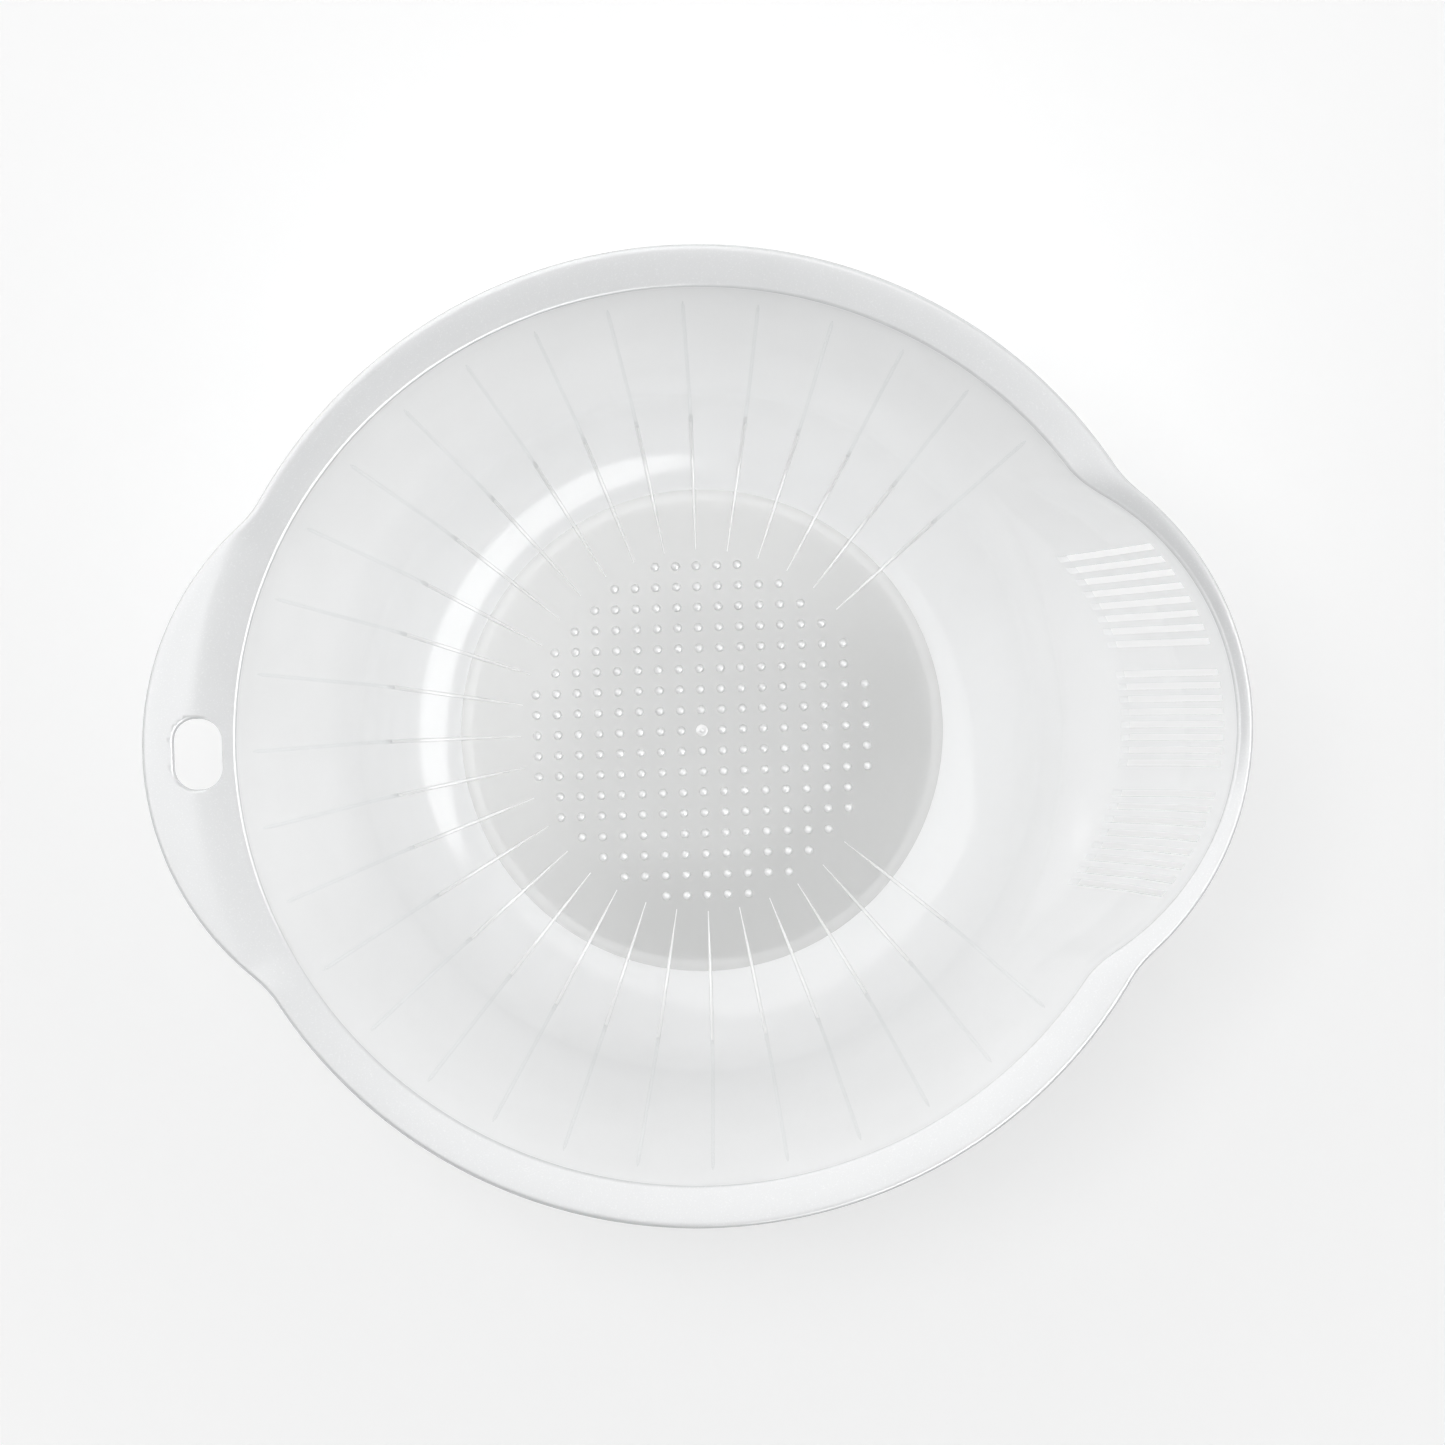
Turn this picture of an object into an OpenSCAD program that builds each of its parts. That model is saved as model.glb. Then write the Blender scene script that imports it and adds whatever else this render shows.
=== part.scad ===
// Rice-washing and draining bowl: one frosted polypropylene moulding, in millimetres.
// Origin: on the surface it stands on, under the centre of the bowl. +X points to the spout, +Z up.
// The moulding is divided into its features, which meet face to face.

/* [Bowl] */
// Overall height, foot to top of the rim
bowl_h = 108; // [100:1:116]
// Radius of the inside of the wall at the rim
mouth_r = 102.7; // [101:0.1:104]
// Radius of the flat floor, where the wall starts to rise
floor_r = 60; // [60:0.5:62]
// Radius of the bend between floor and wall, inside
bend_r = 24; // [20:1:28]
// Thickness of the wall and floor
wall_t = 1.6; // [1.2:0.1:2.2]

/* [Foot] */
// Outer radius of the foot ring
foot_r = 59.6; // [56:0.2:60]
// Width of the foot ring
foot_w = 2.7; // [2:0.1:4]
// Height of the foot ring below the floor
foot_h = 2.6; // [2:0.1:4]

/* [Rim] */
// Outer radius of the round rim
rim_r = 112.5; // [110:0.5:114]
// Thickness of the flat rim
rim_t = 1.8; // [1.4:0.1:2.4]
// Depth of the turned-down edge, from the top of the rim
edge_h = 4; // [3:0.5:6]
// Thickness of the turned-down edge
edge_t = 1.6; // [1.2:0.1:2.2]
// Radius of the blends where the spout and handle leave the round rim
blend_r = 8; // [5:1:10]
// Width of a gusset under the rim
gusset_w = 2; // [1.4:0.1:3]
// Height of a gusset
gusset_h = 14; // [8:1:18]
// Height of a gusset at its outer end
gusset_toe_h = 1; // [0.5:0.5:2]
// Directions of the gussets around the bowl axis
gusset_angles = [80, 150, 210, 280]; // [0:5:355]

/* [Handle] */
// Distance of the handle tab's centre behind the bowl axis
handle_x = 58.9; // [56:0.1:62]
// Radius of the handle tab
handle_r = 68.1; // [66:0.1:70]
// Hang hole length, along the rim
hole_l = 16.2; // [14:0.2:18]
// Hang hole width
hole_w = 11; // [10.4:0.2:12]
// Corner radius of the hang hole
hole_corner_r = 5; // [3:0.5:5]
// Distance of the hang hole's centre behind the bowl axis
hole_x = 114.2; // [113:0.2:115]

/* [Spout] */
// Distance of the spout rim's centre in front of the bowl axis
lip_x = 57.6; // [56:0.1:60]
// Radius of the spout rim's outline
lip_r = 69.4; // [68:0.1:71]
// Forward reach of the inside of the spout, at the rim
spout_reach = 123.3; // [122:0.1:123.6]
// Radius of the spout's wall, seen from above
spout_r = 61; // [59:0.5:62]

/* [Drain slots] */
// Slots in each of the three grilles
slots_per_grille = 8; // [4:1:8]
// Width of a slot, narrower than a grain of rice
slot_w = 1.5; // [1:0.1:1.8]
// Distance between two slots of a grille
slot_pitch = 3.02; // [2.6:0.02:3.1]
// Distance between the last slot of one grille and the first of the next
grille_gap = 7.2; // [6:0.2:9]
// Height of the lower end of the slots
slot_bottom_z = 52; // [52:1:56]
// Height of the upper end of the slots
slot_top_z = 97; // [92:1:98]
// Angle that each slot of a side grille fans out from the one before it
slot_fan = 0.7; // [0:0.1:0.8]

/* [Ribs and studs] */
// Angle between two washing ribs
rib_step = 10; // [10:1:20]
// Half angle without ribs, either side of the spout
rib_free = 40; // [40:1:50]
// Width of a rib
rib_w = 0.9; // [0.6:0.1:1.4]
// Height of a rib above the wall
rib_h = 0.6; // [0.4:0.1:1]
// Radius at which the ribs start on the floor
rib_start_r = 45; // [44.5:0.1:50]
// Height at which the ribs end on the wall
rib_top_z = 96; // [80:1:100]
// Distance between floor studs, both ways
stud_pitch = 5.12; // [4.8:0.02:5.2]
// Stud diameter at the floor
stud_d = 2.2; // [1.6:0.1:3]
// Stud height
stud_h = 0.7; // [0.4:0.1:1]
// Square of the stud field's radius, in pitches
stud_field = 68; // [20:1:68]
// Diameter of the injection point
gate_d = 3; // [2:0.1:3.4]

/* [Hidden] */
$fn = 180;
disc_sides = 96;
stud_sides = 16;

frosted = [0.90, 0.92, 0.93];
milky = [0.82, 0.85, 0.87];
pale = [0.96, 0.97, 0.98];

far = 300;     // longer than the whole bowl
cut = 0.1;     // overshoot of a cutting solid past the face that it cuts
disc_t = 0.01; // thickness of the discs that the space in the spout is stretched over
rim_z = bowl_h - rim_t;
floor_z = foot_h + wall_t;

// The straight part of the wall is the line from the mouth that just touches the round bend
wall_run = mouth_r - floor_r;
wall_rise = rim_z - floor_z - bend_r;
wall_angle = atan2(wall_rise, wall_run) + asin(bend_r / norm([wall_run, wall_rise]));

// Radius of the straight wall at the height z, moved out by the distance out
function wall_r(z, out = 0) = mouth_r + out / sin(wall_angle) - (rim_z - z) / tan(wall_angle);

// The round bend from the floor's edge to the straight wall, moved out, as [radius, height] points
bend_steps = 14;
function bend(out) =
    [for (i = [0 : bend_steps])
        let (a = wall_angle * i / bend_steps, r = bend_r + out)
        [floor_r + r * sin(a), floor_z + bend_r - r * cos(a)]];

function wall_line(out, top_z) = concat(bend(out), [[wall_r(top_z, out), top_z]]);

function reversed(list) = [for (i = [len(list) - 1 : -1 : 0]) list[i]];

// Space in the round bowl up to the height top_z, moved out by the distance out
module bowl_space(out, top_z) {
    rotate_extrude()
    polygon(concat([[0, floor_z - out]], wall_line(out, top_z), [[0, top_z]]));
}

// Inside of the spout on its centre line, as [forward reach, height]: shelf, slotted slope, upright
spout_line = [[79.2, 37], [101.2, 52], [114, 73], [121.5, 98], [spout_reach, rim_z + cut]];

function direction(a, b) = atan2(b[1] - a[1], b[0] - a[0]);

// The same line moved out by the distance out, with mitred corners
function outer_line(p, out) =
    [for (i = [0 : len(p) - 1])
        let (before = direction(p[max(i - 1, 0)], p[max(i, 1)]),
             after = direction(p[min(i, len(p) - 2)], p[min(i + 1, len(p) - 1)]),
             mid = (before + after) / 2,
             miter = out / cos((after - before) / 2))
        p[i] + miter * [sin(mid), -cos(mid)]];

// Space in the spout, moved out: round discs stacked along its centre line
module spout_space(out) {
    line = outer_line(spout_line, out);
    hull()
    for (i = [0 : len(line) - 1]) {
        reach = line[i][0];
        grown_r = spout_r + reach - spout_line[i][0];
        translate([reach - grown_r, 0, line[i][1]]) cylinder(r = grown_r, h = disc_t, $fn = disc_sides);
    }
}

// Wall of the spout, outside the round bowl, before the grilles are taken out of it
module spout_shell() {
    difference() {
        spout_space(wall_t);
        spout_space(0);
        bowl_space(wall_t, bowl_h);
        translate([0, 0, rim_z]) cylinder(r = far, h = far);
    }
}

grille_w = (slots_per_grille - 1) * slot_pitch;
side_grille_y = grille_w + grille_gap;
panel_half_w = side_grille_y / 2 - 1;
panel_margin = 2;
panel_back_x = 78;
fan_x = 92;     // where the fanned slots turn, near their lower ends
fan_all = slot_fan * (slots_per_grille - 1);

// Upright block that holds one grille; side is 1 on the left, 0 in the middle and -1 on the right
module grille_block(side) {
    inner_y = side_grille_y - panel_half_w;
    outer_y = side_grille_y + panel_half_w;
    mirror([0, side < 0 ? 1 : 0])
    translate([0, 0, slot_bottom_z - panel_margin])
    linear_extrude(slot_top_z - slot_bottom_z + 2 * panel_margin)
    if (side == 0)
        translate([panel_back_x, -panel_half_w]) square([far, 2 * panel_half_w]);
    else
        polygon([[panel_back_x, inner_y], [far, inner_y],
                 [far, outer_y + (far - panel_back_x) * tan(fan_all)], [panel_back_x, outer_y]]);
}

// The slots of one grille as upright slabs
module slots(side) {
    for (i = [0 : slots_per_grille - 1])
        mirror([0, side < 0 ? 1 : 0])
        translate([fan_x, abs(side) * side_grille_y - grille_w / 2 + i * slot_pitch, slot_bottom_z])
        rotate(abs(side) * slot_fan * i)
        translate([panel_back_x - fan_x, -slot_w / 2, 0])
        cube([far, slot_w, slot_top_z - slot_bottom_z]);
}

module drain_grille(side) {
    difference() {
        intersection() {
            spout_shell();
            grille_block(side);
        }
        slots(side);
    }
}

// Centre of the round blend between a disc of radius r1 and one of radius r2 at the distance d
function blend_centre(r1, r2, d, r) =
    let (p = r1 + r, q = r2 + r, x = (p * p - q * q + d * d) / (2 * d))
    [x, sqrt(p * p - x * x)];

// Outline of the round rim and one more disc on the X axis, with their two corners blended
module blended_discs(r1, r2, d, r) {
    c = blend_centre(r1, r2, d, r);
    difference() {
        union() {
            circle(r1);
            translate([d, 0]) circle(r2);
            polygon([[0, 0], c, [d, 0], [c[0], -c[1]]]);
        }
        for (s = [-1, 1]) translate([c[0], s * c[1]]) circle(r);
    }
}

// Outline of the whole rim, handle and spout, moved in by the distance inset
module rim_outline(inset = 0) {
    blended_discs(rim_r - inset, lip_r - inset, lip_x, blend_r + inset);
    mirror([1, 0]) blended_discs(rim_r - inset, handle_r - inset, handle_x, blend_r + inset);
}

module mouth_outline() {
    circle(mouth_r);
    translate([spout_reach - spout_r, 0]) circle(spout_r);
}

module hang_hole_outline() {
    w = hole_w - 2 * hole_corner_r;
    l = hole_l - 2 * hole_corner_r;
    translate([-hole_x, 0]) {
        square([hole_w, l], center = true);
        square([w, hole_l], center = true);
        for (x = [-w / 2, w / 2], y = [-l / 2, l / 2]) translate([x, y]) circle(hole_corner_r);
    }
}

// Flat rim with its turned-down edge, over the plan area of the child
module rim_part() {
    translate([0, 0, rim_z])
    linear_extrude(rim_t)
    intersection() {
        difference() {
            rim_outline();
            mouth_outline();
            hang_hole_outline();
        }
        children();
    }
    translate([0, 0, bowl_h - edge_h])
    linear_extrude(edge_h - rim_t)
    intersection() {
        difference() {
            rim_outline();
            rim_outline(edge_t);
        }
        children();
    }
}

// Plan areas that divide the rim: a wedge to the spout, and a wedge to the handle behind the round rim
wedge_angle = 34;
handle_joint_r = 108;

module wedge() {
    polygon([[0, 0], [far, far * tan(wedge_angle)], [far, -far * tan(wedge_angle)]]);
}

module handle_area() {
    difference() {
        mirror([1, 0]) wedge();
        circle(handle_joint_r);
    }
}

module floor_panel() {
    color(milky)
    translate([0, 0, foot_h]) cylinder(r = floor_r, h = wall_t);
}

module foot_ring() {
    color(frosted)
    difference() {
        cylinder(r = foot_r, h = foot_h);
        translate([0, 0, -cut]) cylinder(r = foot_r - foot_w, h = foot_h + 2 * cut);
    }
}

module bowl_wall() {
    color(frosted)
    difference() {
        rotate_extrude() polygon(concat(wall_line(0, rim_z), reversed(wall_line(wall_t, rim_z))));
        spout_space(0);
    }
}

module spout_wall() {
    color(frosted)
    difference() {
        spout_shell();
        for (side = [-1, 0, 1]) grille_block(side);
    }
}

module drain_grille_left() {
    color(pale) drain_grille(1);
}

module drain_grille_centre() {
    color(pale) drain_grille(0);
}

module drain_grille_right() {
    color(pale) drain_grille(-1);
}

module rim_flange() {
    color(pale)
    rim_part()
    difference() {
        square(2 * far, center = true);
        wedge();
        handle_area();
    }
}

module spout_lip() {
    color(pale) rim_part() wedge();
}

module handle_tab() {
    color(pale) rim_part() handle_area();
}

// Thin plates that follow the floor, the bend and the wall
module wash_ribs() {
    under = concat([[rib_start_r, floor_z]], bend(0), [[wall_r(rib_top_z), rib_top_z]]);
    over = concat([[rib_start_r + rib_h, floor_z + rib_h]], bend(-rib_h),
                  [[wall_r(rib_top_z - rib_h, -rib_h), rib_top_z - rib_h]]);
    color(pale)
    for (a = [rib_free : rib_step : 360 - rib_free])
        rotate([0, 0, a])
        rotate([90, 0, 0])
        linear_extrude(rib_w, center = true)
        polygon(concat(under, reversed(over)));
}

// Low studs on a square grid inside a circle. The middle one gives way to the injection point.
module floor_studs() {
    n = floor(sqrt(stud_field));
    color(pale)
    for (i = [-n : n], j = [-n : n])
        if (i * i + j * j > 0 && i * i + j * j <= stud_field)
            translate([i * stud_pitch, j * stud_pitch, floor_z])
            cylinder(d1 = stud_d, d2 = stud_d / 2, h = stud_h, $fn = stud_sides);
}

// Three-cornered gussets between the outside of the wall and the underside of the rim
module rim_gussets() {
    low_z = rim_z - gusset_h;
    color(frosted)
    for (a = gusset_angles)
        rotate([0, 0, a])
        rotate([90, 0, 0])
        linear_extrude(gusset_w, center = true)
        polygon([[wall_r(rim_z, wall_t), rim_z], [wall_r(low_z, wall_t), low_z],
                 [rim_r - edge_t, rim_z - gusset_toe_h], [rim_r - edge_t, rim_z]]);
}

module gate_mark() {
    color(milky)
    translate([0, 0, floor_z]) cylinder(d = gate_d, h = stud_h / 2);
}

floor_panel();
foot_ring();
bowl_wall();
spout_wall();
drain_grille_left();
drain_grille_centre();
drain_grille_right();
rim_flange();
spout_lip();
handle_tab();
wash_ribs();
floor_studs();
rim_gussets();
gate_mark();
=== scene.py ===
"""Looks of the rice-washing bowl: one frosted polypropylene moulding on a pale studio table."""

import math

import bmesh
import bpy
import numpy as np
from mathutils import Matrix, Vector


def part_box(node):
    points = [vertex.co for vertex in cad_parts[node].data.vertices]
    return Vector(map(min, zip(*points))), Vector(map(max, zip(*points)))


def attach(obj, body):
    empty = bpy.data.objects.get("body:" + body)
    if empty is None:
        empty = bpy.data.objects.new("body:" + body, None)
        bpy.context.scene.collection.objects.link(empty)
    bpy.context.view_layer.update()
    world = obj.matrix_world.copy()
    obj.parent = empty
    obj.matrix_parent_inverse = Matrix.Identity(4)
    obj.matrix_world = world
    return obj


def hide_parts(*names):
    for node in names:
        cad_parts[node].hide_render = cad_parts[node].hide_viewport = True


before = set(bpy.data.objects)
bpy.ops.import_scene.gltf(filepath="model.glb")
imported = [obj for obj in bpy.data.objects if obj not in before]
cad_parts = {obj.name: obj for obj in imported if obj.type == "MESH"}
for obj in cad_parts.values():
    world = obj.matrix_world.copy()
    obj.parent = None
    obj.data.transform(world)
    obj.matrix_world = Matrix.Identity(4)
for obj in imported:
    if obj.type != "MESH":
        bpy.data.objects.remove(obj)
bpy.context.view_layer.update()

MM = 0.001

# Dimensions that the frame holds, in metres
rim_low, rim_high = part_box("rim_flange")
foot_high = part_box("foot_ring")[1]
floor_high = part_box("floor_panel")[1]
ribs_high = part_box("wash_ribs")[1]
RIM_TOP, RIM_R = rim_high.z, rim_high.y
EDGE_H = RIM_TOP - rim_low.z
FOOT_R, FOOT_H = foot_high.x, foot_high.z
FLOOR_R, FLOOR_Z = floor_high.x, floor_high.z
HANDLE_TIP = -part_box("handle_tab")[0].x
SPOUT_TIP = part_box("spout_lip")[1].x
RIB_TOP_Z = ribs_high.z
STUD_TOP_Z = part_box("floor_studs")[1].z
GUSSET_LOW_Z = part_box("rim_gussets")[0].z

# Dimensions of the moulding that the frame's boxes don't show, as in the design
WALL_T = FLOOR_Z - FOOT_H
FOOT_W = 2.7 * MM
MOUTH_R = 102.7 * MM
BEND_R = 24 * MM
RIM_T = 1.8 * MM
EDGE_T = 1.6 * MM
HANDLE_R = 68.1 * MM
LIP_R = 69.4 * MM
SPOUT_R = 61 * MM
SPOUT_LINE = np.array([(79.2, 37), (101.2, 52), (114, 73), (121.5, 98), (123.3, 106.3)]) * MM
HOLE_X, HOLE_W, HOLE_L, HOLE_CORNER = 114.2 * MM, 11 * MM, 16.2 * MM, 5 * MM
SLOTS, SLOT_W, SLOT_PITCH, GRILLE_GAP = 8, 1.5 * MM, 3.02 * MM, 7.2 * MM
SLOT_LOW_Z, SLOT_HIGH_Z, SLOT_FAN = 52 * MM, 97 * MM, math.radians(0.7)
SLOT_BACK_X, FAN_X = 78 * MM, 92 * MM  # where the cuts start, and the point they fan out round
RIB_STEP, RIB_FREE, RIB_START_R = 10, 40, 45 * MM
STUD_PITCH, STUD_R, STUD_FIELD = 5.12 * MM, 1.1 * MM, 68
GUSSET_ANGLES, GUSSET_HALF_W = (80, 150, 210, 280), 1 * MM

# Softening of the moulding that only shows close up
OVAL_RIM = 1.016        # the rim is slightly longer than it is wide
OVAL_MOUTH = 1.026      # and so is the mouth
RIM_DISH = 1.0 * MM     # the flat rim dips towards the mouth
MOUTH_ROUND = 1.0 * MM
EDGE_ROUND = 0.8 * MM
FLOOR_CROWN = 0.9 * MM  # the middle of the floor stands slightly higher than its edge
FOOT_ROUND = 0.5 * MM
HOLE_ROUND = 0.6 * MM
GUSSET_ROUND = 0.25 * MM
CORNER_BLEND = 1.8 * MM  # where the spout and the tab leave the round rim
CREASE_BLEND = 3 * MM    # where the spout's wall leaves the round wall
RIB_TIP_HALF_W, RIB_HALF_W = 0.12 * MM, 0.48 * MM
RIB_TIP_H, RIB_H = 0.06 * MM, 0.6 * MM
RIB_FADE_IN, RIB_FADE_OUT = 16 * MM, 4 * MM  # length of its taper on the floor, and near the mouth
SINK = 0.05 * MM        # how far ribs and studs reach into the plastic under them
OVERLAP = 0.2 * MM      # how far the gussets reach into the wall

COLUMNS = 720  # points in one ring of the shell
THETA = np.linspace(0, 2 * math.pi, COLUMNS, endpoint=False)

wall_run, wall_rise = MOUTH_R - FLOOR_R, RIM_TOP - RIM_T - FLOOR_Z - BEND_R
WALL_ANGLE = math.atan2(wall_rise, wall_run) + math.asin(BEND_R / math.hypot(wall_run, wall_rise))
WALL_START_Z = FLOOR_Z + BEND_R * (1 - math.cos(WALL_ANGLE))
MOUTH_Z = RIM_TOP - RIM_DISH


# ---------- shape of the moulding, as radius against angle and height ----------

def smooth_max(a, b, k):
    """The larger of two values, blended where they are within k of each other."""
    h = np.clip(0.5 + 0.5 * (a - b) / k, 0, 1)
    return b + (a - b) * h + k * h * (1 - h)


def smoothstep(t):
    t = np.clip(t, 0, 1)
    return t * t * (3 - 2 * t)


def oval(r, stretch, theta):
    """Radius, in direction theta, of an ellipse r wide and r * stretch long."""
    return r * stretch / np.hypot(np.cos(theta), stretch * np.sin(theta))


def disc(x, r, theta):
    """Distance from the bowl's axis to the far side of a disc of radius r centred at x on the X axis."""
    inside = r * r - (x * np.sin(theta)) ** 2
    return np.where(inside > 0, x * np.cos(theta) + np.sqrt(np.maximum(inside, 0)), 0)


def round_wall(z, out, theta):
    """Radius of the round bowl's straight wall at the height z, moved out by the distance out."""
    r = MOUTH_R + out / math.sin(WALL_ANGLE) - (RIM_TOP - RIM_T - z) / math.tan(WALL_ANGLE)
    start = FLOOR_Z + BEND_R
    return oval(r, 1 + (OVAL_MOUTH - 1) * smoothstep((z - start) / (RIM_TOP - start)), theta)


def moved_out(line, out):
    """A line of points moved out by the distance out, with mitred corners."""
    steps = np.diff(line, axis=0)
    angles = np.arctan2(steps[:, 1], steps[:, 0])
    before, after = np.append(angles[:1], angles), np.append(angles, angles[-1:])
    mid, miter = (before + after) / 2, out / np.cos((after - before) / 2)
    return line + np.column_stack([miter * np.sin(mid), -miter * np.cos(mid)])


def spout_wall(z, out, theta):
    """Radius of the spout's wall at the height z, moved out, with its bends slightly rounded."""
    line = moved_out(SPOUT_LINE, out)
    near = z + np.linspace(-1.2, 1.2, 5) * MM
    reach = np.interp(near, line[:, 1], line[:, 0]).mean()
    grown = SPOUT_R + (out * 1.1)
    return disc(reach - grown, grown, theta)


def wall(z, out, theta):
    """Radius of the whole wall, bowl and spout together, at the height z."""
    return smooth_max(round_wall(z, out, theta), spout_wall(z, out, theta), CREASE_BLEND)


def floor_height(r):
    """Height of the floor's top face, which falls slightly towards its edge."""
    return FLOOR_Z - FLOOR_CROWN * smoothstep((r / FLOOR_R - 0.5) / 0.55)


def rim_outline(theta):
    """Radius of the rim's outer edge: a round rim, the spout and the hang tab, blended together."""
    spout = disc(SPOUT_TIP - LIP_R, LIP_R, theta)
    handle = disc(HANDLE_R - HANDLE_TIP, HANDLE_R, theta)
    return smooth_max(smooth_max(oval(RIM_R, OVAL_RIM, theta), spout, CORNER_BLEND), handle, CORNER_BLEND)


def arc(start, end, steps):
    """Angles of a rounded edge, in radians, its ends included."""
    return np.radians(np.linspace(start, end, steps + 1))


def rim_height(r, inner, outer):
    """Height of the rim's top face, which dips towards the mouth."""
    width = np.minimum(outer - inner, RIM_R - MOUTH_R)
    t = np.clip((r - inner) / width, 0, 1)
    return RIM_TOP - RIM_DISH * (1 - t) ** 1.2


def bend_points(steps):
    """The inside of the bend from the floor's edge to the straight wall, its end left out."""
    points = []
    for a in np.linspace(0, WALL_ANGLE, steps)[:-1]:
        drop = (FLOOR_Z - floor_height(FLOOR_R)) * (1 - smoothstep(a / WALL_ANGLE * 2))
        points.append((FLOOR_R + BEND_R * math.sin(a), FLOOR_Z + BEND_R * (1 - math.cos(a)) - drop))
    return points


def inside_rings():
    """From the middle of the floor up to the rounded mouth, as (radius, height)."""
    rings = [(r, floor_height(r)) for r in np.linspace(0.08, 1, 24)[:-1] * FLOOR_R]
    rings += bend_points(18)
    top = MOUTH_Z - MOUTH_ROUND
    rings += [(wall(z, 0, THETA), z) for z in np.linspace(WALL_START_Z, top, 64)]
    mouth = wall(top, 0, THETA)
    rings += [(mouth + MOUTH_ROUND * (1 - np.cos(a)), MOUTH_Z - MOUTH_ROUND * (1 - np.sin(a)))
              for a in arc(15, 90, 5)]
    return rings


def rim_rings():
    """Over the flat rim, round its turned-down edge and back along its underside to the wall."""
    inner, outer = wall(MOUTH_Z - MOUTH_ROUND, 0, THETA) + MOUTH_ROUND, rim_outline(THETA)
    flat_end = outer - EDGE_ROUND
    across = np.linspace(0, 1, 18)
    rings = []
    for t in across[1:]:
        r = inner + t * (flat_end - inner)
        rings.append((r, rim_height(r, inner, flat_end)))
    rings += [(flat_end + EDGE_ROUND * np.sin(a), RIM_TOP - EDGE_ROUND * (1 - np.cos(a)))
              for a in arc(18, 90, 4)]
    low, half = RIM_TOP - EDGE_H, EDGE_T / 2
    rings.append((outer, low + half))
    rings += [(outer - half + half * np.cos(a), low + half - half * np.sin(a)) for a in arc(30, 150, 4)]
    rings.append((outer - EDGE_T, low + half))
    under_end = wall(MOUTH_Z - RIM_T, WALL_T, THETA)
    for t in across[::-1]:
        top = inner + t * (flat_end - inner)
        rings.append((under_end + t * (outer - EDGE_T - under_end),
                      rim_height(top, inner, flat_end) - RIM_T))
    return rings


def outside_rings():
    """Down the outside of the wall and round its bend to the foot."""
    rings = [(wall(z, WALL_T, THETA), z) for z in np.linspace(MOUTH_Z - RIM_T, WALL_START_Z, 62)[1:]]
    out_r = BEND_R + WALL_T
    rings += [(FLOOR_R + out_r * math.sin(a), FLOOR_Z + BEND_R - out_r * math.cos(a))
              for a in np.linspace(WALL_ANGLE, 0, 15)[1:]]
    return rings


def foot_rings():
    """Round the foot ring and along the underside of the floor to its middle."""
    soft, inside = FOOT_ROUND, FOOT_R - FOOT_W
    rings = [(FOOT_R, FOOT_H - soft / 2)]
    rings += [(FOOT_R - soft * (1 - math.cos(a)), soft * (1 - math.sin(a))) for a in arc(0, 90, 3)]
    rings += [(inside + soft * (1 - math.cos(a)), soft * (1 - math.sin(a))) for a in arc(90, 0, 3)]
    rings.append((inside, floor_height(inside) - WALL_T - soft / 2))
    rings += [(r, floor_height(r) - WALL_T)
              for r in np.append(inside - soft / 2, np.linspace(0.9, 0.08, 14) * FOOT_R)]
    return rings


def shell_rings():
    """Closed outline of the moulding, from the middle of the floor's top to the middle of its underside."""
    rings = inside_rings() + rim_rings() + outside_rings() + foot_rings()
    return [(np.broadcast_to(r, THETA.shape), np.broadcast_to(z, THETA.shape)) for r, z in rings]


# ---------- mesh helpers ----------

def new_object(name, verts, faces):
    mesh = bpy.data.meshes.new(name)
    mesh.from_pydata([tuple(v) for v in verts], [], faces)
    mesh.validate()
    obj = bpy.data.objects.new(name, mesh)
    bpy.context.scene.collection.objects.link(obj)
    return obj


def finish_normals(obj, sharp_degrees=38):
    """Closed mesh with outward faces, smooth but for its real edges."""
    bm = bmesh.new()
    bm.from_mesh(obj.data)
    bmesh.ops.recalc_face_normals(bm, faces=bm.faces)
    bm.to_mesh(obj.data)
    bm.free()
    obj.data.polygons.foreach_set("use_smooth", [True] * len(obj.data.polygons))
    obj.data.set_sharp_from_angle(angle=math.radians(sharp_degrees))


def revolve(rings, low_pole, high_pole):
    """Vertices and faces of rings closed by a pole at each end."""
    verts = [low_pole]
    for r, z in rings:
        verts += list(zip(r * np.cos(THETA), r * np.sin(THETA), z))
    verts.append(high_pole)
    faces = []
    step = np.arange(COLUMNS)
    nxt = (step + 1) % COLUMNS
    for j, k in zip(step, nxt):
        faces.append((0, 1 + int(j), 1 + int(k)))
    for i in range(len(rings) - 1):
        a, b = 1 + i * COLUMNS, 1 + (i + 1) * COLUMNS
        faces += [(a + int(j), b + int(j), b + int(k), a + int(k)) for j, k in zip(step, nxt)]
    last, end = 1 + (len(rings) - 1) * COLUMNS, len(verts) - 1
    faces += [(last + int(k), last + int(j), end) for j, k in zip(step, nxt)]
    return verts, faces


def loft(outlines):
    """Vertices and faces of a closed solid through outlines with equal point counts."""
    n = len(outlines[0])
    verts = [p for o in outlines for p in o]
    faces = [tuple(range(n))[::-1], tuple(range((len(outlines) - 1) * n, len(outlines) * n))]
    for i in range(len(outlines) - 1):
        for j in range(n):
            k = (j + 1) % n
            faces.append((i * n + j, i * n + k, (i + 1) * n + k, (i + 1) * n + j))
    return verts, faces


def join_parts(parts):
    """One list of vertices and faces from several."""
    verts, faces = [], []
    for v, f in parts:
        base = len(verts)
        verts += list(v)
        faces += [tuple(base + i for i in face) for face in f]
    return verts, faces


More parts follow.
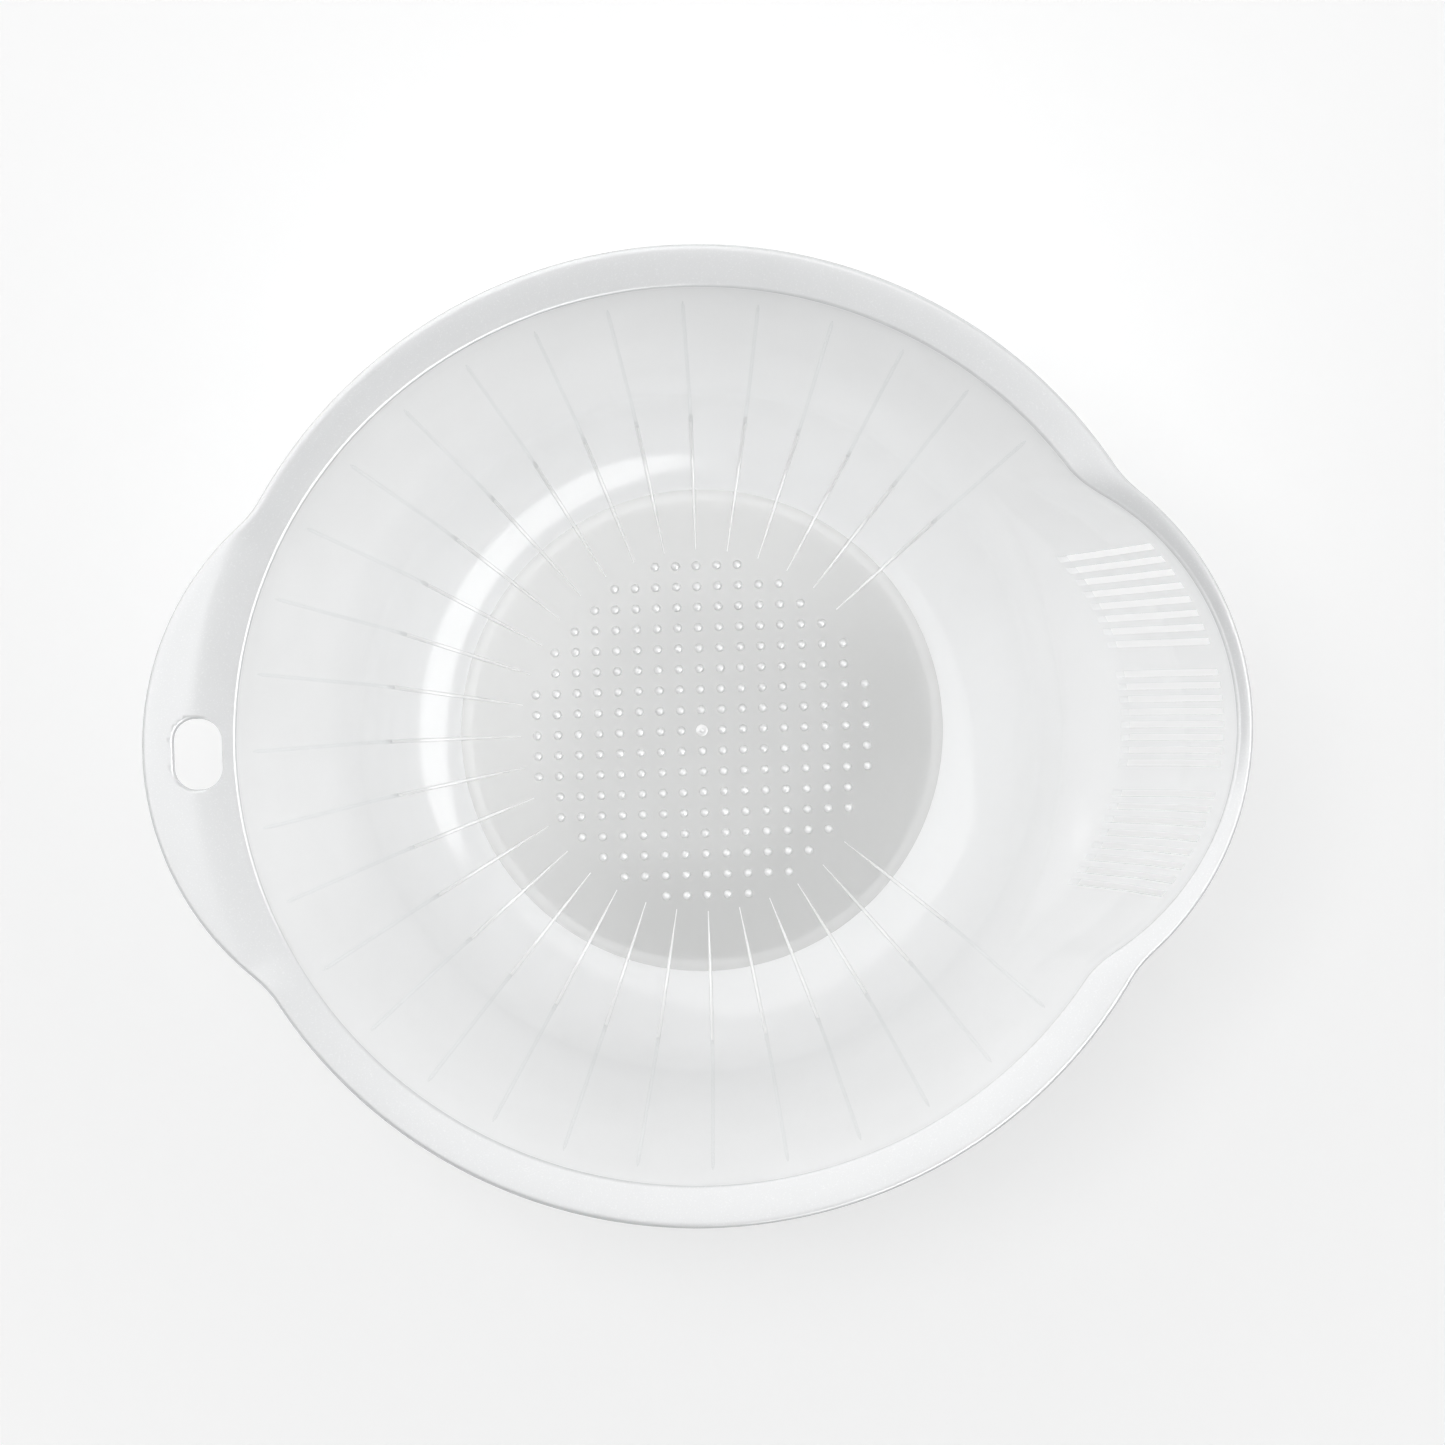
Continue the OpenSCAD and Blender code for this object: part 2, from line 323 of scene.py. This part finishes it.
def cut(obj, cutter):
    """Takes the cutter out of the object, and leaves it with no material slots."""
    modifier = obj.modifiers.new("cut", "BOOLEAN")
    modifier.operation = "DIFFERENCE"
    modifier.solver = "MANIFOLD"
    modifier.object = cutter
    bpy.context.view_layer.update()
    done = bpy.data.meshes.new_from_object(obj.evaluated_get(bpy.context.evaluated_depsgraph_get()))
    obj.modifiers.clear()
    obj.data = done
    obj.data.materials.clear()
    bpy.data.objects.remove(cutter)


# ---------- pieces ----------

def slot_cutters():
    """24 upright slabs: three grilles of eight, the side ones fanning out."""
    span, reach = (SLOTS - 1) * SLOT_PITCH, 70 * MM
    parts = []
    for side in (-1, 0, 1):
        for i in range(SLOTS):
            y = abs(side) * (span + GRILLE_GAP) - span / 2 + i * SLOT_PITCH
            turn = Matrix.Rotation(abs(side) * SLOT_FAN * i, 3, "Z")
            flip = -1 if side < 0 else 1
            outlines = []
            for z in (SLOT_LOW_Z, SLOT_HIGH_Z):
                outline = []
                for dx, dy in ((0, -1), (reach, -1), (reach, 1), (0, 1)):
                    p = turn @ Vector((SLOT_BACK_X - FAN_X + dx, dy * SLOT_W / 2, 0))
                    outline.append((FAN_X + p.x, flip * (y + p.y), z))
                outlines.append(outline)
            parts.append(loft(outlines))
    cutter = new_object("slot_cutter", *join_parts(parts))
    finish_normals(cutter)
    return cutter


def hole_cutter():
    """Rounded oblong through the tab, flared at both faces so that the hole has soft edges."""
    soft, past = HOLE_ROUND, 2 * MM
    top, bottom = RIM_TOP, MOUTH_Z - RIM_T
    levels = [(bottom - past, soft * 2), (bottom, soft), (bottom + soft * 0.4, soft * 0.35),
              (bottom + soft, 0), (top - soft, 0), (top - soft * 0.4, soft * 0.35), (top, soft),
              (top + past, soft * 2)]
    outlines = []
    for z, grow in levels:
        outline = []
        for corner, (sx, sy) in enumerate(((1, 1), (-1, 1), (-1, -1), (1, -1))):
            cx = sx * (HOLE_W / 2 - HOLE_CORNER)
            cy = sy * (HOLE_L / 2 - HOLE_CORNER)
            for a in arc(90 * corner, 90 * corner + 90, 12):
                r = HOLE_CORNER + grow
                outline.append((cx + r * math.cos(a) - HOLE_X, cy + r * math.sin(a), z))
        outlines.append(outline)
    cutter = new_object("hole_cutter", *loft(outlines))
    finish_normals(cutter)
    return cutter


def paint_shell(shell):
    """Gives each face its plastic: 0 the floor, 1 the wall, 2 the rim and 3 the clearer outside. The floor's
    and the rim's plastics are the wall's plastic in a darker colour, which is painted shade.
    """
    mesh = shell.data
    centre = np.empty(len(mesh.polygons) * 3)
    mesh.polygons.foreach_get("center", centre)
    x, y, z = centre.reshape(-1, 3).T
    floor = (np.hypot(x, y) < FLOOR_R + 0.2 * MM) & (z > floor_height(FLOOR_R) - 0.1 * MM)
    past_wall = np.hypot(x, y) > wall(MOUTH_Z, 0, np.arctan2(y, x)) + 2.5 * MM
    rim = (z > MOUTH_Z - 0.6 * MM) | ((z > RIM_TOP - EDGE_H) & past_wall)
    normal = np.empty(len(mesh.polygons) * 3)
    mesh.polygons.foreach_get("normal", normal)
    nx, ny, nz = normal.reshape(-1, 3).T
    outside = (nx * x + ny * y > 0) & (nz < 0.3) | (nz < -0.5)
    region = np.where(outside, 3, np.where(floor, 0, np.where(rim, 2, 1)))
    mesh.polygons.foreach_set("material_index", region.astype(int))


def make_shell():
    """The moulding in one closed skin, with the slots and the hang hole cut through it."""
    shell = new_object("bowl_shell", *revolve(shell_rings(), (0, 0, FLOOR_Z), (0, 0, FOOT_H)))
    finish_normals(shell)
    cut(shell, slot_cutters())
    cut(shell, hole_cutter())
    finish_normals(shell)
    paint_shell(shell)
    return shell


def rib_path(theta):
    """Points up the inside of the bowl in one direction, as (radius, height)."""
    points = [(r, floor_height(r)) for r in np.linspace(RIB_START_R, FLOOR_R, 8)[:-1]]
    points += bend_points(18)
    points += [(float(round_wall(z, 0, theta)), z) for z in np.linspace(WALL_START_Z, RIB_TOP_Z, 26)]
    return np.array(points)


def rib(theta):
    """One round-backed ridge up the inside, lower and narrower towards both ends."""
    path = rib_path(theta)
    tangent = np.gradient(path, axis=0)
    tangent /= np.linalg.norm(tangent, axis=1)[:, None]
    along = np.append(0, np.cumsum(np.linalg.norm(np.diff(path, axis=0), axis=1)))
    grow = smoothstep(along / RIB_FADE_IN) * smoothstep((along[-1] - along) / RIB_FADE_OUT) ** 0.5
    outlines = []
    for (r, z), (tr, tz), g in zip(path, tangent, grow):
        half = RIB_TIP_HALF_W + (RIB_HALF_W - RIB_TIP_HALF_W) * g
        height = RIB_TIP_H + (RIB_H - RIB_TIP_H) * g
        section = [(-half, -SINK)]
        section += [(-half * math.cos(a), height * math.sin(a)) for a in arc(20, 160, 6)]
        section += [(half, -SINK)]
        outline = []
        for side, up in section:
            rr, zz = r - tz * up, z + tr * up
            outline.append((rr * math.cos(theta) - side * math.sin(theta),
                            rr * math.sin(theta) + side * math.cos(theta), zz))
        outlines.append(outline)
    return loft(outlines)


def make_ribs():
    """29 ribs, all round but for the spout, in a clearer plastic above the lower third of the bend."""
    angles = range(RIB_FREE, 360 - RIB_FREE + 1, RIB_STEP)
    ribs = new_object("ribs", *join_parts([rib(math.radians(a)) for a in angles]))
    finish_normals(ribs, 50)
    for face in ribs.data.polygons:
        face.material_index = int(face.center.z > FLOOR_Z + BEND_R / 3)
    return ribs


def dome(x, y, radius, z, height, sides=20, steps=4):
    """A low round-topped stud, sunk a little into the floor."""
    levels = [(radius, -SINK)]
    levels += [(radius * math.cos(a), height * math.sin(a)) for a in arc(8, 78, steps)]
    ring = arc(0, 360, sides)[:-1]
    return loft([[(x + r * math.cos(a), y + r * math.sin(a), z + h) for a in ring] for r, h in levels])


def make_studs():
    """Studs on a square grid inside a circle. The middle one gives way to the injection point."""
    reach = math.isqrt(STUD_FIELD)
    places = [(i, j) for i in range(-reach, reach + 1) for j in range(-reach, reach + 1)
              if 0 < i * i + j * j <= STUD_FIELD]
    height = STUD_TOP_Z - FLOOR_Z
    studs = new_object("studs", *join_parts(
        [dome(i * STUD_PITCH, j * STUD_PITCH, STUD_R, floor_height(math.hypot(i, j) * STUD_PITCH), height)
         for i, j in places]))
    finish_normals(studs, 60)
    return studs


def make_gate_mark():
    """The injection point: a low dome with a smaller one on it."""
    low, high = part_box("gate_mark")
    radius, height = high.x, high.z - low.z
    mark = new_object("gate_nub", *join_parts([
        dome(0, 0, radius, low.z, height * 0.5, 32, 5),
        dome(0, 0, radius * 0.4, low.z + height * 0.3, height * 0.7, 24, 4)]))
    finish_normals(mark, 60)
    return mark


def gusset(degrees):
    """One web with softened edges between the outside of the wall and the underside of the rim."""
    theta = math.radians(degrees)
    under = MOUTH_Z - RIM_T
    outer = float(rim_outline(theta)) - EDGE_T + 0.1 * MM
    if degrees in (150, 210):  # beside the hang tab, where the rim's outline is already wider
        outer = float(oval(RIM_R, OVAL_RIM, theta)) - EDGE_T
    corners = [(float(wall(under, WALL_T, theta)) - OVERLAP, under + 0.1 * MM),
               (float(wall(GUSSET_LOW_Z, WALL_T, theta)) - OVERLAP, GUSSET_LOW_Z),
               (outer, under - 0.4 * MM), (outer, RIM_TOP - RIM_T)]
    mid = np.mean(corners, axis=0)
    outlines = []
    for side in (-1.0, -0.75, 0.75, 1.0):
        shrink = GUSSET_ROUND if abs(side) == 1 else 0
        across = side * GUSSET_HALF_W
        outline = []
        for corner in corners:
            pull = np.array(corner) - mid
            r, z = mid + pull * (1 - shrink / np.linalg.norm(pull))
            outline.append((r * math.cos(theta) - across * math.sin(theta),
                            r * math.sin(theta) + across * math.cos(theta), z))
        outlines.append(outline)
    return loft(outlines)


def make_gussets():
    gussets = new_object("gussets", *join_parts([gusset(a) for a in GUSSET_ANGLES]))
    finish_normals(gussets, 30)
    return gussets


# ---------- materials ----------

BUMP_HEIGHT = 0.01 * MM
CLEAR_TINT = (0.985, 0.99, 0.99, 1)


def node(tree, kind, **inputs):
    """A shader node with the named inputs set."""
    made = tree.nodes.new(kind)
    for name, value in inputs.items():
        made.inputs[name.replace("_", " ")].default_value = value
    return made


def new_tree(name):
    """A material whose node tree is empty, and that tree."""
    material = bpy.data.materials.new(name)
    material.use_nodes = True
    material.node_tree.nodes.clear()
    return material, material.node_tree


def clouded(tree, coords, colour):
    """The colour with slightly darker clouds in it."""
    cloud = node(tree, "ShaderNodeTexNoise", Scale=22.0, Detail=3.0, Roughness=0.55)
    tree.links.new(coords, cloud.inputs["Vector"])
    tone = tree.nodes.new("ShaderNodeValToRGB")
    dark, light = tone.color_ramp.elements
    dark.position, light.position = 0.35, 0.65
    dark.color = [c * 0.975 for c in colour] + [1]
    light.color = list(colour) + [1]
    tree.links.new(cloud.outputs["Fac"], tone.inputs["Fac"])
    return tone.outputs["Color"]


def grained(tree, coords, roughness, spread, grain, grain_size):
    """Roughness and normal of a surface with a fine uneven grain and small pits."""
    fine = node(tree, "ShaderNodeTexNoise", Scale=1.0 / grain_size, Detail=2.0, Roughness=0.6)
    pits = node(tree, "ShaderNodeTexVoronoi", Scale=0.7 / grain_size)
    height = tree.nodes.new("ShaderNodeMath")
    height.operation = "ADD"
    for texture, value, i in ((fine, "Fac", 0), (pits, "Distance", 1)):
        tree.links.new(coords, texture.inputs["Vector"])
        tree.links.new(texture.outputs[value], height.inputs[i])
    bump = node(tree, "ShaderNodeBump", Strength=grain, Distance=BUMP_HEIGHT)
    tree.links.new(height.outputs[0], bump.inputs["Height"])
    rough = node(tree, "ShaderNodeMapRange", From_Min=0.3, From_Max=0.7,
                 To_Min=roughness - spread, To_Max=roughness + spread)
    tree.links.new(fine.outputs["Fac"], rough.inputs["Value"])
    return rough.outputs["Result"], bump.outputs["Normal"]


def mixed(tree, first, second, share):
    """Two shaders, with the given share of the second."""
    mix = tree.nodes.new("ShaderNodeMixShader")
    mix.inputs[0].default_value = share
    tree.links.new(first.outputs[0], mix.inputs[1])
    tree.links.new(second.outputs[0], mix.inputs[2])
    return mix


def frosted(name, colour, roughness, spread, through, clear, gloss, grain, grain_size):
    """Natural polypropylene: a white body that lets part of the light through, under a moulded skin."""
    material, tree = new_tree(name)
    coords = tree.nodes.new("ShaderNodeTexCoord").outputs["Object"]
    tone = clouded(tree, coords, colour)
    rough, normal = grained(tree, coords, roughness, spread, grain, grain_size)
    skin = node(tree, "ShaderNodeBsdfPrincipled", IOR=1.5, Specular_IOR_Level=gloss,
                Coat_Weight=gloss, Coat_Roughness=roughness)
    glow = tree.nodes.new("ShaderNodeBsdfTranslucent")
    window = node(tree, "ShaderNodeBsdfTransparent", Color=CLEAR_TINT)
    tree.links.new(tone, skin.inputs["Base Color"])
    tree.links.new(tone, glow.inputs["Color"])
    tree.links.new(rough, skin.inputs["Roughness"])
    tree.links.new(normal, skin.inputs["Normal"])
    whole = mixed(tree, mixed(tree, skin, glow, through), window, clear)
    out = tree.nodes.new("ShaderNodeOutputMaterial")
    tree.links.new(whole.outputs[0], out.inputs["Surface"])
    return material


def table_material():
    """Plain pale sheet, with a little light of its own so that the shadow on it stays weak."""
    material = bpy.data.materials.new("table")
    material.use_nodes = True
    skin = material.node_tree.nodes["Principled BSDF"]
    skin.inputs["Base Color"].default_value = (0.85, 0.85, 0.85, 1)
    skin.inputs["Emission Color"].default_value = (1, 1, 1, 1)
    skin.inputs["Emission Strength"].default_value = 0.2
    skin.inputs["Roughness"].default_value = 0.9
    skin.inputs["Specular IOR Level"].default_value = 0.1
    return material


# ---------- studio ----------

def make_camera():
    """Almost straight above, the spout to the right and turned up by two degrees."""
    data = bpy.data.cameras.new("camera")
    camera = bpy.data.objects.new("camera", data)
    bpy.context.scene.collection.objects.link(camera)
    place = Vector((13.6, 17.8, 1258)) * MM
    aim = Vector((5.9, 3.1, 108)) * MM
    roll = math.radians(2)
    back = (place - aim).normalized()
    right = Vector((math.sin(roll), math.cos(roll), 0)).cross(back).normalized()
    turn = Matrix((right, back.cross(right), back)).transposed()
    camera.matrix_world = Matrix.Translation(place) @ turn.to_4x4()
    data.sensor_width = 36
    data.lens = 125.5
    data.clip_start = 0.05
    bpy.context.scene.camera = camera
    return camera


def area_light(name, place, size, power, role, shape="RECTANGLE"):
    """A soft source aimed at the bowl: "shade" lights surfaces and "gloss" is only seen mirrored in them."""
    data = bpy.data.lights.new(name, "AREA")
    data.shape = shape
    data.size, data.size_y = size
    data.energy = power
    light = bpy.data.objects.new(name, data)
    bpy.context.scene.collection.objects.link(light)
    light.location = place
    light.rotation_euler = (-place).to_track_quat("-Z", "Y").to_euler()
    light.visible_camera = light.visible_volume_scatter = False
    light.visible_glossy = role == "gloss"
    light.visible_diffuse = light.visible_transmission = role == "shade"


def polar(distance, azimuth, elevation):
    """A place seen from the bowl, from metres and degrees."""
    a, e = math.radians(azimuth), math.radians(elevation)
    return Vector((math.cos(a) * math.cos(e), math.sin(a) * math.cos(e), math.sin(e))) * distance


def fade(tree, source, start, end, at_start, at_end):
    """Smooth change of a value between two limits of another."""
    ramp = node(tree, "ShaderNodeMapRange", From_Min=start, From_Max=end, To_Min=at_start, To_Max=at_end)
    ramp.interpolation_type = "SMOOTHSTEP"
    tree.links.new(source, ramp.inputs["Value"])
    return ramp.outputs["Result"]


def make_world():
    """White studio walls all round under a dimmer ceiling, and almost dark on the -Y side."""
    world = bpy.data.worlds.new("studio")
    world.use_nodes = True
    tree = world.node_tree
    coords = tree.nodes.new("ShaderNodeTexCoord")
    axes = tree.nodes.new("ShaderNodeSeparateXYZ")
    both = tree.nodes.new("ShaderNodeMath")
    both.operation = "MULTIPLY"
    tree.links.new(coords.outputs["Generated"], axes.inputs[0])
    up = fade(tree, axes.outputs["Z"], start=0.4, end=0.95, at_start=1.22, at_end=0.48)
    sideways = fade(tree, axes.outputs["Y"], start=-0.9, end=0.0, at_start=0.1, at_end=1.1)
    tree.links.new(up, both.inputs[0])
    tree.links.new(sideways, both.inputs[1])
    tree.links.new(both.outputs[0], tree.nodes["Background"].inputs["Strength"])
    tree.nodes["Background"].inputs["Color"].default_value = (1, 1, 1, 1)
    bpy.context.scene.world = world


def make_studio():
    """World, three lights and the table, with enough bounces for light to get through the plastic."""
    make_world()
    area_light("key", polar(distance=4.0, azimuth=145, elevation=79),
               size=(1.5, 1.5), power=26, role="shade")
    area_light("overhead", polar(distance=3.0, azimuth=128, elevation=53),
               size=(3.4, 4.7), power=210, role="gloss")
    area_light("card", polar(distance=1.3, azimuth=-33, elevation=57),
               size=(1.95, 0.85), power=46, role="gloss", shape="ELLIPSE")
    bpy.context.scene.view_settings.view_transform = "Standard"
    cycles = bpy.context.scene.cycles
    cycles.max_bounces, cycles.diffuse_bounces = 40, 24
    cycles.transmission_bounces, cycles.transparent_max_bounces = 32, 32
    half = 3.0
    corners = [(-half, -half, 0), (half, -half, 0), (half, half, 0), (-half, half, 0)]
    table = new_object("table", corners, [(0, 1, 2, 3)])
    table.data.materials.append(table_material())


# ---------- assembly ----------

make_camera()
make_studio()

# The floor's grey base colour is painted shade: it is the wall's plastic, darkened where the floor lies low
# in the bowl.
floor_plastic_painted_shade = frosted("frosted_floor_painted_shade", (0.68, 0.68, 0.675), roughness=0.2, spread=0.04,
                        through=0.45, clear=0.2, gloss=1.0, grain=0.15, grain_size=0.4 * MM)
wall_plastic = frosted("frosted_wall", (0.98, 0.982, 0.984), roughness=0.13, spread=0.02,
                       through=0.3, clear=0.1, gloss=0.17, grain=0.06, grain_size=1.2 * MM)
# The rim's grey, slightly blue base colour is painted shade: it is the wall's plastic, darkened to stand in
# for the shade on the flange.
rim_plastic_painted_shade = frosted("frosted_flange_painted_shade", (0.70, 0.706, 0.714), roughness=0.25, spread=0.04,
                      through=0.35, clear=0.15, gloss=1.0, grain=0.2, grain_size=0.4 * MM)
skin_plastic = frosted("frosted_skin", (0.98, 0.983, 0.985), roughness=0.15, spread=0.03,
                       through=0.3, clear=0.6, gloss=0.7, grain=0.15, grain_size=0.6 * MM)
rib_plastic = frosted("frosted_rib", (0.99, 0.99, 0.99), roughness=0.15, spread=0.03,
                      through=0.1, clear=0.02, gloss=0.6, grain=0.1, grain_size=0.6 * MM)
thin_plastic = frosted("frosted_rib_top", (0.99, 0.99, 0.99), roughness=0.12, spread=0.03,
                       through=0.1, clear=0.9, gloss=1.0, grain=0.1, grain_size=0.6 * MM)
stud_plastic = frosted("frosted_stud", (0.97, 0.97, 0.97), roughness=0.2, spread=0.03,
                       through=0.1, clear=0.1, gloss=0.6, grain=0.1, grain_size=0.5 * MM)

SHELL_NODES = ("floor_panel", "foot_ring", "bowl_wall", "spout_wall", "drain_grille_left",
               "drain_grille_centre", "drain_grille_right", "rim_flange", "spout_lip", "handle_tab")

SHELL_PLASTIC = (floor_plastic_painted_shade, wall_plastic, rim_plastic_painted_shade, skin_plastic)  # in paint_shell's order

PIECES = (
    (make_shell, SHELL_NODES, SHELL_PLASTIC, "frosted_shell"),
    (make_ribs, ("wash_ribs",), (rib_plastic, thin_plastic), "frosted_detail"),
    (make_studs, ("floor_studs",), (stud_plastic,), "frosted_detail"),
    (make_gussets, ("rim_gussets",), (thin_plastic,), "frosted_detail"),
    (make_gate_mark, ("gate_mark",), (stud_plastic,), "frosted_detail"),
)

for make, nodes, materials, slot in PIECES:
    piece = make()
    for material in materials:
        piece.data.materials.append(material)
    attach(piece, "root")
    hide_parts(*nodes)
